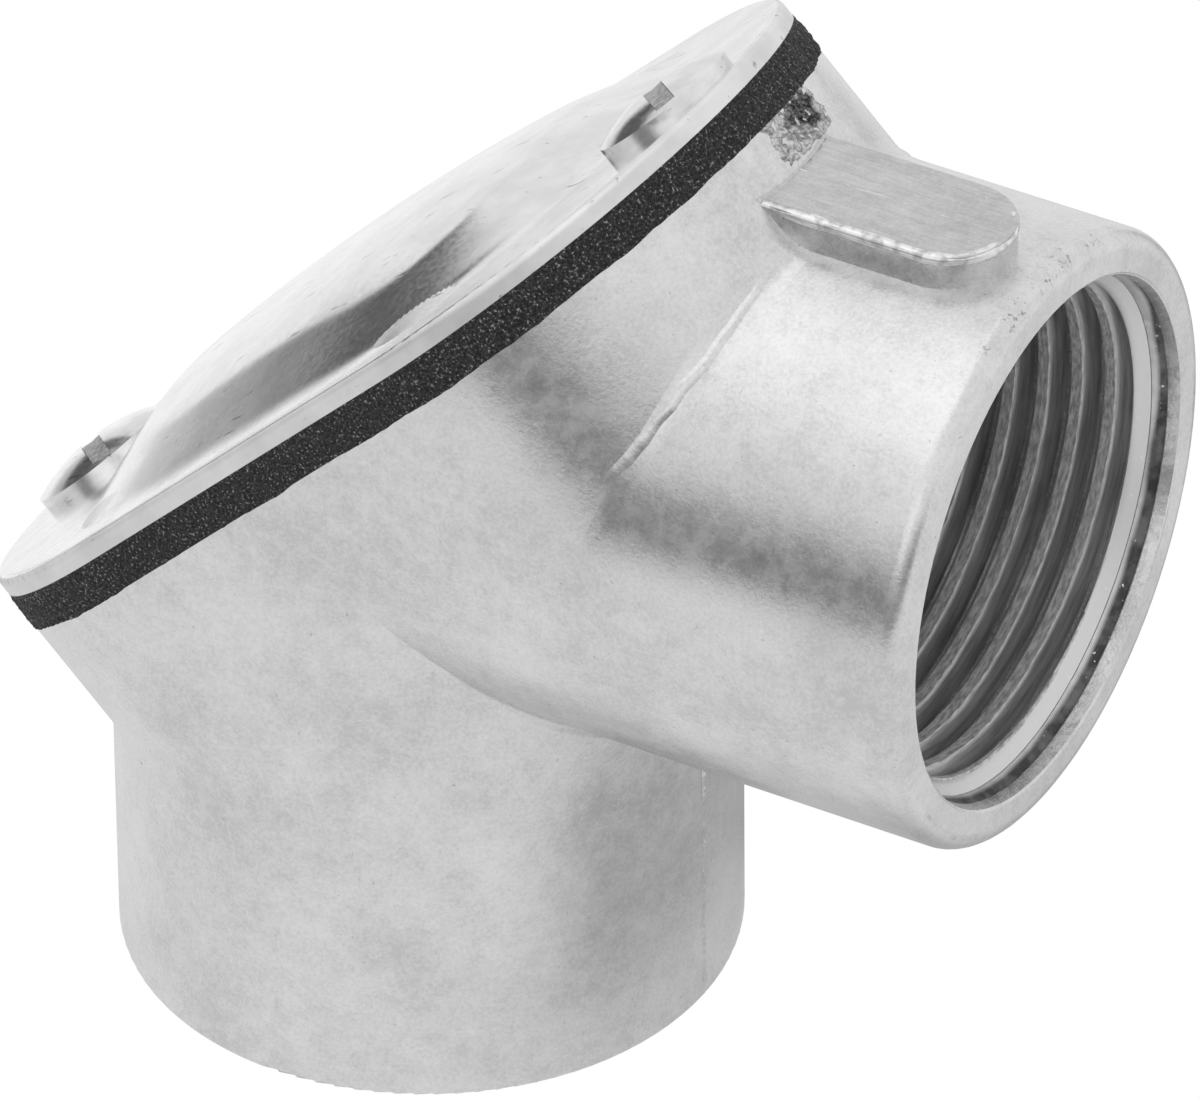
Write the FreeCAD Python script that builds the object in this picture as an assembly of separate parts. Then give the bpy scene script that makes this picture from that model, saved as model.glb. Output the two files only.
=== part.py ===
import FreeCAD, Part
import math
import os

# Conduit pull elbow: a cast right-angle body with two female hubs, closed across its back
# corner by a gasket and a domed cover that two slotted screws hold down.
# Millimetres, +Z up. The origin is the centre of the lower hub's mouth, the lower hub runs
# up along +Z and the side hub runs out along +X.

# Hubs
LEG_LENGTH = 34.5            # each mouth to the point where the two hub axes cross
THREAD_RADIUS = 13.33        # root of the female pipe thread, cut plain here
HUB_WALL = 2.17              # thread root to the outside of both hubs
THREAD_DEPTH = 13.0          # mouth to the shoulder that stops the conduit
STOP_STEP = 2.83             # shoulder from the thread root in to the wire passage
SIDE_RIM_ROUND = 1.0         # cast round on the side hub's rim
LOWER_RIM_ROUND = 0.3        # the lower hub's rim is nearly sharp
MOUTH_BREAK = 0.1            # small lead-in at both mouths

# Seat for the cover, tilted across the back corner
SEAT_ANGLE = 45.0            # slope of the seat plane from horizontal, in degrees
END_CENTRE = 11.4            # middle of the seat to the centre of each rounded end
LOBE_OVERLAP = 2.0           # seat ends carried on inside the hubs
LOBE_ROUND_SHARE = 0.75      # cast round at the seat's ends, as a share of their overhang
VALLEY_ROUND = 0.8           # cast round in the hollow between the two hubs

# Casting pad on top of the side hub
PAD_WIDTH = 6.4
PAD_SETBACK = 2.3            # side hub's mouth to the pad's rounded tip
PAD_RISE = 1.5               # pad's side edges above the crown of the hub
PAD_RIDGE = 0.15             # parting ridge above the pad's side edges

# Gasket
GASKET_THICKNESS = 2.0
GASKET_LIP = 0.5             # gasket opening outside the wire passage
GASKET_HOLE_CLEARANCE = 0.2  # gasket hole outside the screw's thread

# Cover
SHEET = 1.0                  # sheet thickness
PLATE_EDGE_ROUND = 0.35      # blanking round on the cover's upper edge
DOME_MARGIN = 1.9            # flat rim outside the foot of the dome
DOME_SLOPE = 18.0            # sides of the dome from the flat rim, in degrees
SHOULDER_INSET = 5.5         # foot of the dome in to the line where its crown begins
CROWN_SLOPE_SHARE = 0.55     # slope of the crown at that line, as a share of the sides' slope
CROWN_RADIUS_ALONG = 150.0   # crown's curve along the cover
DOME_FOOT_ROUND = 3.0        # pressed round where the dome leaves the flat rim
DOME_SHOULDER_ROUND = 2.0    # pressed round between the dome's sides and its crown
COVER_HOLE_CLEARANCE = 0.25  # cover hole outside the screw's thread

# Screws
SCREW_INSET = 4.3            # each screw in from the end of the cover
SCREW_THREAD_RADIUS = 2.08   # outside of the screw's thread
SCREW_CORE_RADIUS = 1.65     # root of the screw's thread, modelled plain
SCREW_LENGTH = 6.35          # under the head
SCREW_TIP_CHAMFER = 0.5
HOLE_SPARE_DEPTH = 1.0       # tapped hole below the screw's tip
HEAD_RADIUS = 3.75
HEAD_GAP = 0.05              # screw head to the foot of the dome
HEAD_EDGE = 0.65             # upright edge of the head
HEAD_RISE = 1.45             # top of the head above its seat
SLOT_WIDTH = 1.1
SLOT_DEPTH = 0.65
SLOT_TURN = -45.0            # slot from the cover's long direction, in degrees

# Derived sizes
HUB_RADIUS = THREAD_RADIUS + HUB_WALL
WIREWAY_RADIUS = THREAD_RADIUS - STOP_STEP
PAD_REACH = LEG_LENGTH - PAD_SETBACK
SEAT_HALF_WIDTH = HUB_RADIUS
SCREW_OFFSET = END_CENTRE + SEAT_HALF_WIDTH - SCREW_INSET
LOBE_OVERHANG = (END_CENTRE + SEAT_HALF_WIDTH) * math.cos(math.radians(SEAT_ANGLE)) - HUB_RADIUS
LOBE_ROUND = LOBE_ROUND_SHARE * LOBE_OVERHANG
COVER_UNDERSIDE = GASKET_THICKNESS
COVER_FACE = COVER_UNDERSIDE + SHEET
DOME_HALF_WIDTH = SEAT_HALF_WIDTH - DOME_MARGIN
DOME_FOOT_RUN = DOME_FOOT_ROUND * math.tan(math.radians(DOME_SLOPE / 2))
DOME_STRAIGHT = SCREW_OFFSET - HEAD_RADIUS - HEAD_GAP - DOME_FOOT_RUN - DOME_HALF_WIDTH
CROWN_HALF_WIDTH = DOME_HALF_WIDTH - SHOULDER_INSET
CROWN_SLOPE = CROWN_SLOPE_SHARE * DOME_SLOPE
CROWN_RADIUS_ACROSS = CROWN_HALF_WIDTH / math.sin(math.radians(CROWN_SLOPE))
CROWN_RISE = CROWN_HALF_WIDTH * math.tan(math.radians(CROWN_SLOPE / 2))
DOME_RISE = SHOULDER_INSET * math.tan(math.radians(DOME_SLOPE)) + CROWN_RISE
TAPPED_DEPTH = SCREW_LENGTH - COVER_FACE + HOLE_SPARE_DEPTH
BIG = 4.0 * (LEG_LENGTH + HUB_RADIUS)
TOUCH = 0.01

X = FreeCAD.Vector(1, 0, 0)
Y = FreeCAD.Vector(0, 1, 0)
Z = FreeCAD.Vector(0, 0, 1)
CORNER = FreeCAD.Vector(0, 0, LEG_LENGTH)
SEAT_PLACE = FreeCAD.Placement(CORNER, FreeCAD.Rotation(Y, -SEAT_ANGLE))


def point(x, y, z=0.0):
    return FreeCAD.Vector(x, y, z)


def on_seat(shape):
    """Carry a shape from seat axes (long way X, outward Z) to the part's own axes."""
    placed = shape.copy()
    placed.Placement = SEAT_PLACE.multiply(placed.Placement)
    return placed


def obround_wire(end_centre, half_width, level):
    """A long rounded outline on the seat's axes."""
    near_right = point(end_centre, -half_width, level)
    right = point(end_centre + half_width, 0, level)
    far_right = point(end_centre, half_width, level)
    far_left = point(-end_centre, half_width, level)
    left = point(-end_centre - half_width, 0, level)
    near_left = point(-end_centre, -half_width, level)
    edges = [
        Part.LineSegment(near_left, near_right).toShape(),
        Part.Arc(near_right, right, far_right).toShape(),
        Part.LineSegment(far_right, far_left).toShape(),
        Part.Arc(far_left, left, near_left).toShape(),
    ]
    return Part.Wire(edges)


def obround(end_centre, half_width, bottom, top):
    """A long rounded prism on the seat's axes."""
    return Part.Face(obround_wire(end_centre, half_width, bottom)).extrude(point(0, 0, top - bottom))


def screw_holes(radius, bottom, top):
    """The two screw holes, on the seat's axes."""
    return [
        Part.makeCylinder(radius, top - bottom, point(side * SCREW_OFFSET, 0, bottom))
        for side in (-1, 1)
    ]


def hub(rim_round):
    """One hub standing on its mouth, solid, with its rim rounded."""
    shell = Part.makeCylinder(HUB_RADIUS, LEG_LENGTH + HUB_RADIUS)
    rim = [edge for edge in shell.Edges if edge.BoundBox.ZMax < rim_round]
    return shell.makeFillet(rim_round, rim)


def hub_bore():
    """Threaded socket, conduit stop and wire passage of one hub, standing on its mouth."""
    socket = Part.makeCylinder(THREAD_RADIUS, THREAD_DEPTH)
    passage = Part.makeCylinder(WIREWAY_RADIUS, LEG_LENGTH + WIREWAY_RADIUS)
    lead_in = Part.makeCone(THREAD_RADIUS + MOUTH_BREAK, THREAD_RADIUS, MOUTH_BREAK)
    return socket.fuse([passage, lead_in])


def as_side_hub(shape):
    """Turn a shape made on the lower hub's axis so that its mouth faces +X."""
    turned = shape.copy()
    turned.Placement = FreeCAD.Placement(CORNER + X * LEG_LENGTH, FreeCAD.Rotation(Y, -90))
    return turned


def screw_lobes():
    """The rounded ends of the seat, carried straight down until they run into the hubs."""
    column = on_seat(obround(END_CENTRE, SEAT_HALF_WIDTH, -END_CENTRE - LOBE_OVERLAP, 0))
    behind_lower_hub = Part.makeBox(BIG, BIG, BIG, point(-BIG, -BIG / 2, LEG_LENGTH - BIG / 2))
    above_side_hub = Part.makeBox(BIG, BIG, BIG, point(-BIG / 2, -BIG / 2, LEG_LENGTH))
    return [column.common(behind_lower_hub), column.common(above_side_hub)]


def casting_pad():
    """Flat pad with a rounded tip and a parting ridge, on top of the side hub."""
    half = PAD_WIDTH / 2
    root = LEG_LENGTH
    edge = LEG_LENGTH + HUB_RADIUS + PAD_RISE
    outline = [(-half, root), (half, root), (half, edge), (0, edge + PAD_RIDGE), (-half, edge)]
    section = [point(0, y, z) for y, z in outline]
    bar = Part.Face(Part.makePolygon(section + section[:1])).extrude(X * PAD_REACH)
    plan = obround(PAD_REACH - half, half, root, edge + 2 * PAD_RIDGE)
    return bar.common(plan)


def lies_between_hubs(edge):
    """Whether an edge runs along the hollow between the two hubs, on their mitre plane."""
    middle = edge.BoundBox.Center
    return middle.x > 0 and abs(middle.x + middle.z - LEG_LENGTH) < TOUCH


def runs_round_lobe(edge):
    """Whether an edge of the rough casting is the ellipse where a lobe runs out into its hub."""
    return edge.Curve.TypeId == "Part::GeomEllipse" and not lies_between_hubs(edge)


def casting():
    """Solid outside of the casting: both hubs, the seat with its lobes, and the pad."""
    hubs = hub(LOWER_RIM_ROUND).fuse([as_side_hub(hub(SIDE_RIM_ROUND))] + screw_lobes())
    above_seat = on_seat(Part.makeBox(BIG, BIG, BIG, point(-BIG / 2, -BIG / 2, 0)))
    rough = hubs.cut(above_seat).removeSplitter()
    lobed = rough.makeFillet(LOBE_ROUND, [edge for edge in rough.Edges if runs_round_lobe(edge)])
    hollow = [edge for edge in lobed.Edges if lies_between_hubs(edge)]
    return lobed.makeFillet(VALLEY_ROUND, hollow).fuse(casting_pad().cut(above_seat))


def body():
    holes = [on_seat(hole) for hole in screw_holes(SCREW_THREAD_RADIUS, -TAPPED_DEPTH, 0)]
    bores = [hub_bore(), as_side_hub(hub_bore())]
    return casting().cut(bores + holes).removeSplitter()


def gasket():
    """Foam strip the shape of the seat, open over the wire passage."""
    half_width = WIREWAY_RADIUS + GASKET_LIP
    half_length = WIREWAY_RADIUS / math.cos(math.radians(SEAT_ANGLE)) + GASKET_LIP
    sheet = obround(END_CENTRE, SEAT_HALF_WIDTH, 0, GASKET_THICKNESS)
    opening = obround(half_length - half_width, half_width, 0, GASKET_THICKNESS)
    holes = screw_holes(SCREW_THREAD_RADIUS + GASKET_HOLE_CLEARANCE, 0, GASKET_THICKNESS)
    return on_seat(sheet.cut([opening] + holes))


def dome(level):
    """The raised middle of the cover as a solid: sloped sides under a shallow crown."""
    reach = DOME_RISE + SHEET
    inset = reach / math.tan(math.radians(DOME_SLOPE))
    foot = obround_wire(DOME_STRAIGHT, DOME_HALF_WIDTH, level)
    narrow = obround_wire(DOME_STRAIGHT, DOME_HALF_WIDTH - inset, level + reach)
    sides = Part.makeLoft([foot, narrow], True, True)
    stretch = FreeCAD.Matrix()
    stretch.scale(math.sqrt(CROWN_RADIUS_ALONG / CROWN_RADIUS_ACROSS), 1, 1)
    ball = Part.makeSphere(CROWN_RADIUS_ACROSS)
    ball.rotate(point(0, 0), X, 90)
    crown = ball.transformGeometry(stretch)
    crown.translate(point(0, 0, level + DOME_RISE - CROWN_RADIUS_ACROSS))
    rough = sides.common(crown)
    shoulder = [edge for edge in rough.Edges if edge.BoundBox.ZMin > level + DOME_RISE / 3]
    return rough.makeFillet(DOME_SHOULDER_ROUND, shoulder)


def is_dome_foot(edge):
    """Whether an edge of the raised cover is part of the dome's outline on the flat rim."""
    box = edge.BoundBox
    level = box.ZMin > COVER_FACE - TOUCH and box.ZMax < COVER_FACE + TOUCH
    return level and max(-box.YMin, box.YMax) < DOME_HALF_WIDTH + TOUCH


def cover():
    """Flat rim with the dome pressed up in its middle, one sheet thick."""
    plate = obround(END_CENTRE, SEAT_HALF_WIDTH, COVER_UNDERSIDE, COVER_FACE)
    upper = [edge for edge in plate.Edges if edge.BoundBox.ZMin > COVER_UNDERSIDE + SHEET / 2]
    raised = plate.makeFillet(PLATE_EDGE_ROUND, upper).fuse(dome(COVER_FACE))
    pressed = raised.makeFillet(DOME_FOOT_ROUND, [edge for edge in raised.Edges if is_dome_foot(edge)])
    holes = screw_holes(SCREW_THREAD_RADIUS + COVER_HOLE_CLEARANCE, COVER_UNDERSIDE, COVER_FACE)
    return on_seat(pressed.cut([dome(COVER_UNDERSIDE)] + holes))


def screw(side):
    """Slotted round-topped screw, seated on the cover at one end of the seat."""
    rise = HEAD_RISE - HEAD_EDGE
    dome_radius = (HEAD_RADIUS ** 2 + rise ** 2) / (2 * rise)
    halfway = HEAD_RADIUS / 2
    halfway_rise = HEAD_RISE - dome_radius + math.sqrt(dome_radius ** 2 - halfway ** 2)
    edge_top = point(HEAD_RADIUS, 0, HEAD_EDGE)
    top = point(0, 0, HEAD_RISE)
    tip = point(0, 0, -SCREW_LENGTH)
    flats = [
        top,
        tip,
        point(SCREW_CORE_RADIUS - SCREW_TIP_CHAMFER, 0, -SCREW_LENGTH),
        point(SCREW_CORE_RADIUS, 0, -SCREW_LENGTH + SCREW_TIP_CHAMFER),
        point(SCREW_CORE_RADIUS, 0, 0),
        point(HEAD_RADIUS, 0, 0),
        edge_top,
    ]
    edges = Part.makePolygon(flats).Edges
    edges.append(Part.Arc(edge_top, point(halfway, 0, halfway_rise), top).toShape())
    turned = Part.Face(Part.Wire(edges)).revolve(point(0, 0), Z, 360)
    slot = Part.makeBox(
        4 * HEAD_RADIUS, SLOT_WIDTH, 2 * SLOT_DEPTH,
        point(-2 * HEAD_RADIUS, -SLOT_WIDTH / 2, HEAD_RISE - SLOT_DEPTH),
    )
    slot.rotate(point(0, 0), Z, SLOT_TURN)
    finished = turned.cut(slot)
    finished.translate(point(side * SCREW_OFFSET, 0, COVER_FACE))
    return on_seat(finished)


def main():
    os.makedirs("parts", exist_ok=True)
    pieces = {
        "body": body(),
        "gasket": gasket(),
        "cover": cover(),
        "screw_upper": screw(1),
        "screw_lower": screw(-1),
    }
    for name, shape in pieces.items():
        box = shape.BoundBox
        print(name, "valid", shape.isValid(), "solids", len(shape.Solids), "volume", round(shape.Volume, 1))
        print("  x %.2f %.2f  y %.2f %.2f  z %.2f %.2f" % (
            box.XMin, box.XMax, box.YMin, box.YMax, box.ZMin, box.ZMax))
        shape.exportStep("parts/%s.step" % name)


main()
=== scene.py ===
import logging
import math
from dataclasses import dataclass
from enum import Enum
from typing import Any, Dict, List, Optional, Sequence, Tuple

import bpy
import numpy as np
from mathutils import Matrix, Vector
from mathutils.bvhtree import BVHTree


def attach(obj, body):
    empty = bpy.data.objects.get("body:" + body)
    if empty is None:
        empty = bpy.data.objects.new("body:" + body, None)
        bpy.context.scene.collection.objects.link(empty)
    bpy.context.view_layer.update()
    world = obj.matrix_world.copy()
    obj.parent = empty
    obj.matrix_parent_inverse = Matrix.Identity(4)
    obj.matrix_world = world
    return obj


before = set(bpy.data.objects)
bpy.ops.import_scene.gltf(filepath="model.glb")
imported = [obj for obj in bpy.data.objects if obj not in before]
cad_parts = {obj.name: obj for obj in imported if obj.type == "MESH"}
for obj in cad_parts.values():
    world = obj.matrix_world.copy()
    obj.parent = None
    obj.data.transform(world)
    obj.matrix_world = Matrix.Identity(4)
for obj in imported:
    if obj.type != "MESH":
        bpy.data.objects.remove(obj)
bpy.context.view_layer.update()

# Looks of the conduit pull elbow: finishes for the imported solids, and the fine forms that they
# leave out. Lengths are millimetres in the part's own frame until a mesh is written, in metres, and
# only the studio round the part is set out in metres.

MM = 0.001
LOG = logging.getLogger("pull_elbow")
Inputs = Dict[Any, Any]
Stops = Sequence[Tuple[float, str]]
Span = Tuple[float, float]
Point = Tuple[float, float, float]
Limit = Tuple[bpy.types.NodeSocket, float, float]

# Settings of the nodes that work out numbers and mix colours
TIMES = {"operation": "MULTIPLY"}
TIMES_PLUS = {"operation": "MULTIPLY_ADD"}
GREATER = {"operation": "MAXIMUM"}
COLOURS = {"data_type": "RGBA"}


class Body(Enum):
    """Moving bodies of the part."""

    HOUSING = "housing"
    COVER = "cover"
    SCREW_UPPER = "screw_upper"
    SCREW_LOWER = "screw_lower"


class Slot(Enum):
    """Material slots of the part."""

    CAST_ZINC = "cast_zinc"
    FOAM_RUBBER = "foam_rubber"
    PLATED_SHEET = "plated_sheet"
    PLATED_SCREW = "plated_screw"


class Hub(Enum):
    """The two threaded hubs."""

    LOWER = "lower"
    SIDE = "side"


class Node(Enum):
    """Shader nodes that the finishes are made of."""

    ATTRIBUTE = "ShaderNodeAttribute"
    BACKGROUND = "ShaderNodeBackground"
    BUMP = "ShaderNodeBump"
    DIFFUSE = "ShaderNodeBsdfDiffuse"
    EMISSION = "ShaderNodeEmission"
    LIGHT_PATH = "ShaderNodeLightPath"
    MAPPING = "ShaderNodeMapping"
    MAP_RANGE = "ShaderNodeMapRange"
    MATH = "ShaderNodeMath"
    MIX = "ShaderNodeMix"
    MIX_SHADER = "ShaderNodeMixShader"
    NOISE = "ShaderNodeTexNoise"
    OUTPUT_MATERIAL = "ShaderNodeOutputMaterial"
    OUTPUT_WORLD = "ShaderNodeOutputWorld"
    PRINCIPLED = "ShaderNodeBsdfPrincipled"
    RAMP = "ShaderNodeValToRGB"
    SEPARATE = "ShaderNodeSeparateXYZ"
    TEXTURE_PLACE = "ShaderNodeTexCoord"
    VECTOR_MATH = "ShaderNodeVectorMath"
    VORONOI = "ShaderNodeTexVoronoi"


# Sizes repeated from the solids, in millimetres
LEG_LENGTH = 34.5
HUB_RADIUS = 15.5
THREAD_RADIUS = 13.33
THREAD_DEPTH = 13.0
SCREW_OFFSET = 22.6
SCREW_CORE_RADIUS = 1.65
SCREW_LENGTH = 6.35
COVER_FACE = 3.0
END_CENTRE = 11.4
GASKET_THICKNESS = 2.0
PAD_HALF_WIDTH = 3.2
PAD_TIP_CENTRE = 29.0
PAD_EDGE_LEVEL = 51.5
PAD_RIDGE_LEVEL = 51.65

# Angle past which the edges of torn and broken pieces stay sharp
TORN_DEGREES = 80.0


def linear(hex_colour: str) -> Tuple[float, float, float, float]:
    """Turn an sRGB hex colour into linear RGBA.

    Args:
        hex_colour: colour as "#rrggbb".

    Returns:
        Linear red, green, blue and an alpha of 1.
    """
    values = np.array([int(hex_colour[i:i + 2], 16) for i in (1, 3, 5)]) / 255.0
    rgb = np.where(values <= 0.04045, values / 12.92, ((values + 0.055) / 1.055) ** 2.4)
    return (float(rgb[0]), float(rgb[1]), float(rgb[2]), 1.0)


def seat_to_part(long: np.ndarray, across: np.ndarray, out: np.ndarray) -> np.ndarray:
    """Carry points from the seat's axes to the part's axes.

    x = (d - k) / sqrt(2), y = a, z = LEG_LENGTH + (d + k) / sqrt(2).

    Args:
        long: distance d up the seat's long direction.
        across: distance a across the seat.
        out: distance k out of the seat.

    Returns:
        Points in the part's frame, last axis x, y, z.
    """
    root = math.sqrt(0.5)
    long, across, out = np.broadcast_arrays(long, across, out)
    return np.stack([(long - out) * root, across, LEG_LENGTH + (long + out) * root], axis=-1)


def waves(points: np.ndarray, length: float, seed: int, count: int = 24) -> np.ndarray:
    """Smooth random field, a sum of plane waves with seeded directions and phases.

    f(p) = sqrt(2 / n) * sum over i of sin(2 pi k_i . p / length + phase_i), about -2 to 2.

    Args:
        points: points with x, y, z on the last axis.
        length: mean wavelength.
        seed: seed of the directions and phases.
        count: number of waves.

    Returns:
        Field value at each point.
    """
    draw = np.random.default_rng(seed)
    way = draw.normal(size=(count, 3))
    way /= np.linalg.norm(way, axis=1, keepdims=True)
    way *= draw.uniform(0.6, 1.6, size=(count, 1))
    phase = draw.uniform(0.0, 2.0 * math.pi, size=count)
    return math.sqrt(2.0 / count) * np.sin(points @ (way.T * 2.0 * math.pi / length) + phase).sum(axis=-1)


def tube_faces(rows: int, columns: int, wrap_rows: bool) -> List[List[int]]:
    """Faces of a tube laid out as rows of closed sections, with its ends capped if it doesn't wrap.

    Args:
        rows: number of sections along the tube.
        columns: points around each section.
        wrap_rows: whether the last section joins the first.

    Returns:
        Quads, and one cap polygon at each open end.
    """
    last = rows if wrap_rows else rows - 1
    row = np.arange(last)[:, None]
    column = np.arange(columns)[None, :]
    after = (row + 1) % rows
    beside = (column + 1) % columns
    quads = np.stack(
        [row * columns + column, row * columns + beside, after * columns + beside, after * columns + column],
        axis=-1,
    ).reshape(-1, 4).tolist()
    if not wrap_rows:
        quads.append(list(range(columns))[::-1])
        quads.append(list(range((rows - 1) * columns, rows * columns)))
    return quads


def add_piece(
    name: str, points: np.ndarray, body: Body, material: bpy.types.Material,
    wrap_rows: bool = False, sharp_degrees: float = 35.0, marks: Optional[Dict[str, np.ndarray]] = None,
) -> bpy.types.Object:
    """Make one closed tube-like piece and tie it to a body.

    Args:
        name: name of the piece.
        points: sections along the piece, shape (rows, columns, 3), in millimetres.
        body: body that the piece rides on.
        material: finish of the piece.
        wrap_rows: whether the last section joins the first.
        sharp_degrees: edges sharper than this stay sharp in the shading.
        marks: named values, or places along a worked surface, at each point, for finishes that read them.

    Returns:
        The new object.
    """
    rows, columns = points.shape[:2]
    flat = points.reshape(-1, 3)
    faces = tube_faces(rows, columns, wrap_rows)
    quads = np.array([face for face in faces if len(face) == 4])
    corner = flat[quads] - flat.mean(axis=0)
    first = np.einsum("ij,ij->i", corner[:, 0], np.cross(corner[:, 1], corner[:, 2]))
    second = np.einsum("ij,ij->i", corner[:, 0], np.cross(corner[:, 2], corner[:, 3]))
    if first.sum() + second.sum() < 0:
        faces = [face[::-1] for face in faces]
    mesh = bpy.data.meshes.new(name)
    mesh.from_pydata((flat * MM).tolist(), [], faces)
    mesh.polygons.foreach_set("use_smooth", np.ones(len(faces), dtype=bool))
    mesh.set_sharp_from_angle(angle=math.radians(sharp_degrees))
    for mark, values in (marks or {}).items():
        place = values.ndim == 3
        layer = mesh.attributes.new(mark, "FLOAT_VECTOR" if place else "FLOAT", "POINT")
        layer.data.foreach_set("vector" if place else "value", values.ravel().astype(np.float32))
    mesh.materials.append(material)
    mesh.update()
    piece = bpy.data.objects.new(name, mesh)
    bpy.context.scene.collection.objects.link(piece)
    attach(piece, body.value)
    LOG.info("%s: %d points, %d faces", name, len(flat), len(faces))
    return piece


def add_node(
    tree: bpy.types.NodeTree, kind: Node, inputs: Optional[Inputs] = None, settings: Optional[Inputs] = None,
    stops: Stops = (), out: Any = 0,
) -> Optional[bpy.types.NodeSocket]:
    """Add one shader node with its settings and links.

    Args:
        tree: node tree to add to.
        kind: kind of node.
        inputs: value or output socket for each input, by name or index.
        settings: attributes set on the node itself.
        stops: place and hex colour of each stop of a colour ramp.
        out: name or index of the output to return.

    Returns:
        The named output, or None where the node has none.
    """
    node = tree.nodes.new(kind.value)
    for key, value in (settings or {}).items():
        setattr(node, key, value)
    for key, value in (inputs or {}).items():
        if isinstance(value, bpy.types.NodeSocket):
            tree.links.new(value, node.inputs[key])
        else:
            node.inputs[key].default_value = value
    for place, _ in stops[2:]:
        node.color_ramp.elements.new(place)
    for element, (place, colour) in zip(node.color_ramp.elements if stops else (), stops):
        element.position = place
        element.color = linear(colour)
    return node.outputs[out] if len(node.outputs) else None


def start_material(name: str) -> Tuple[bpy.types.Material, bpy.types.NodeTree, bpy.types.NodeSocket]:
    """Start a material with coordinates in millimetres.

    Args:
        name: name of the material.

    Returns:
        The material, its empty tree, and the coordinates.
    """
    material = bpy.data.materials.new(name)
    material.use_nodes = True
    tree = material.node_tree
    tree.nodes.clear()
    place = add_node(tree, Node.TEXTURE_PLACE, out="Object")
    at = add_node(tree, Node.VECTOR_MATH, {0: place, "Scale": 1.0 / MM}, {"operation": "SCALE"})
    return material, tree, at


def within(tree: bpy.types.NodeTree, field: Any, limits: Sequence[Limit]) -> bpy.types.NodeSocket:
    """Cut a field down to where each place lies inside its limit.

    Args:
        tree: node tree to add to.
        field: number or socket to cut down.
        limits: for each limit a place, where the field is nothing and where it is full.

    Returns:
        The field times each limit's share, from 0 to 1.
    """
    for place, nothing, full in limits:
        share = add_node(tree, Node.MAP_RANGE, {"Value": place, "From Min": nothing, "From Max": full})
        field = add_node(tree, Node.MATH, {0: field, 1: share}, TIMES)
    return field


def end_material(tree: bpy.types.NodeTree, inputs: Inputs) -> None:
    """Finish a material with a principled shader.

    Args:
        tree: node tree to finish.
        inputs: values and sockets of the shader.
    """
    shader = add_node(tree, Node.PRINCIPLED, inputs)
    add_node(tree, Node.OUTPUT_MATERIAL, {"Surface": shader})


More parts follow.
